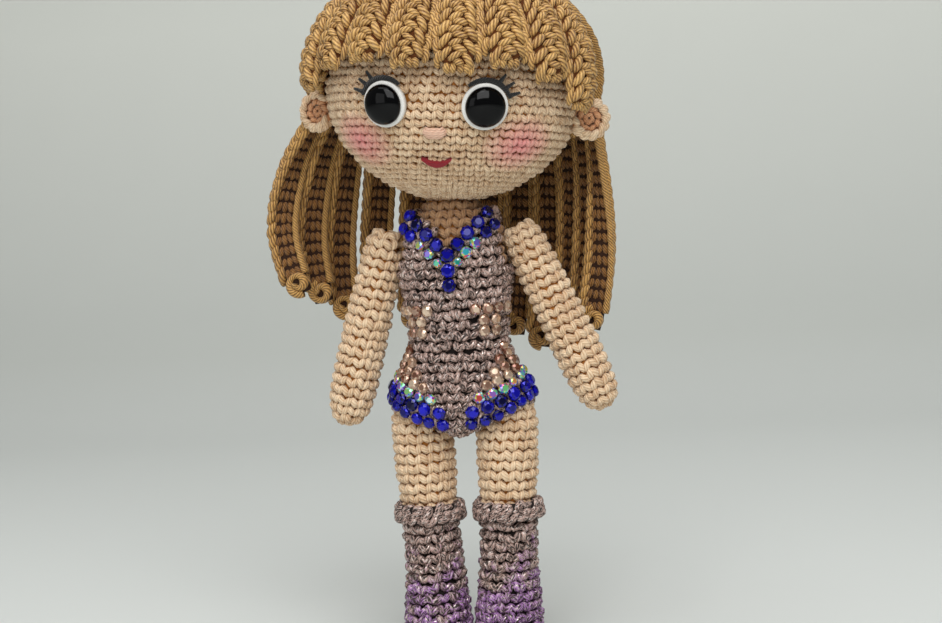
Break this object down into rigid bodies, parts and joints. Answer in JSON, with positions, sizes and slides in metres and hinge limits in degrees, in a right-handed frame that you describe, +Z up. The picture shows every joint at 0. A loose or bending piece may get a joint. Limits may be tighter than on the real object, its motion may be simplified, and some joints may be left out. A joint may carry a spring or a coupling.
{
  "type": "amigurumi doll",
  "caption": "Crocheted standing doll with a round head, fringe and long hair strands, stone-trimmed leotard, cuffed boots and arms that swing and lift on thread joints.",
  "frame": {"origin": "on the floor, under the middle of the doll's bounding box", "axes": "+Z up, the doll faces -Y, the doll's own left is +X"},
  "size_m": [0.1112, 0.0898, 0.2138],
  "materials": {
    "skin_yarn": "matte crocheted cotton",
    "hair_yarn": "crocheted yarn with a slight sheen",
    "leotard_yarn": "crocheted yarn with metallic flecks",
    "boot_yarn": "crocheted yarn with metallic flecks, lilac at the foot",
    "stuffing": "loose polyester fibre",
    "joint_thread": "twisted cotton thread",
    "white_felt": "felt",
    "black_thread": "embroidery thread",
    "nose_thread": "satin stitch",
    "red_felt": "felt",
    "eye_black": "gloss",
    "washer_plastic": "matt",
    "insole_plastic": "matt",
    "rod_wood": "plain turned wood",
    "blue_stone": "faceted, foil backed",
    "copper_stone": "faceted, foil backed"
  },
  "bodies": {
    "torso": {"body_cover": "skin_yarn", "body_stuffing": "stuffing", "neck_rod": "rod_wood", "leotard": "leotard_yarn", "leg_left": "skin_yarn", "leg_stuffing_left": "stuffing", "boot_left": "boot_yarn", "boot_cuff_left": "boot_yarn", "insole_left": "insole_plastic", "eye_left": "eye_black", "eye_washer_left": "washer_plastic", "eye_felt_left": "white_felt", "lashes_left": "black_thread", "ear_left": "skin_yarn", "waist_stones_left": "copper_stone", "hip_stones_left": "blue_stone", "leg_right": "skin_yarn", "leg_stuffing_right": "stuffing", "boot_right": "boot_yarn", "boot_cuff_right": "boot_yarn", "insole_right": "insole_plastic", "eye_right": "eye_black", "eye_washer_right": "washer_plastic", "eye_felt_right": "white_felt", "lashes_right": "black_thread", "ear_right": "skin_yarn", "waist_stones_right": "copper_stone", "hip_stones_right": "blue_stone", "neckline_stones": "blue_stone", "head_cover": "skin_yarn", "head_stuffing": "stuffing", "nose_stitch": "nose_thread", "mouth": "red_felt", "wig_cap": "hair_yarn", "fringe_lock_1": "hair_yarn", "fringe_lock_2": "hair_yarn", "fringe_lock_3": "hair_yarn", "fringe_lock_4": "hair_yarn", "fringe_lock_5": "hair_yarn", "fringe_lock_6": "hair_yarn", "fringe_lock_7": "hair_yarn", "fringe_lock_8": "hair_yarn", "hair_strand_01": "hair_yarn", "hair_strand_02": "hair_yarn", "hair_strand_03": "hair_yarn", "hair_strand_04": "hair_yarn", "hair_strand_05": "hair_yarn", "hair_strand_06": "hair_yarn", "hair_strand_07": "hair_yarn", "hair_strand_08": "hair_yarn", "hair_strand_09": "hair_yarn", "hair_strand_10": "hair_yarn", "hair_strand_11": "hair_yarn", "hair_strand_12": "hair_yarn"},
    "shoulder_left": {"shoulder_thread_left": "joint_thread"},
    "shoulder_right": {"shoulder_thread_right": "joint_thread"},
    "arm_left": {"arm_left": "skin_yarn", "arm_stuffing_left": "stuffing"},
    "arm_right": {"arm_right": "skin_yarn", "arm_stuffing_right": "stuffing"}
  },
  "joints": [
    {"name": "swing_left", "type": "hinge", "parent": "torso", "child": "shoulder_left", "pos_m": [0.02732, 0.00028, 0.129], "axis": [-1, 0, 0], "range_deg": [-8, 110]},
    {"name": "lift_left", "type": "hinge", "parent": "shoulder_left", "child": "arm_left", "pos_m": [0.02732, 0.00028, 0.129], "axis": [0, -1, 0], "range_deg": [0, 70]},
    {"name": "swing_right", "type": "hinge", "parent": "torso", "child": "shoulder_right", "pos_m": [-0.01631, 0.00028, 0.129], "axis": [-1, 0, 0], "range_deg": [-8, 110]},
    {"name": "lift_right", "type": "hinge", "parent": "shoulder_right", "child": "arm_right", "pos_m": [-0.01631, 0.00028, 0.129], "axis": [0, 1, 0], "range_deg": [0, 70]}
  ]
}
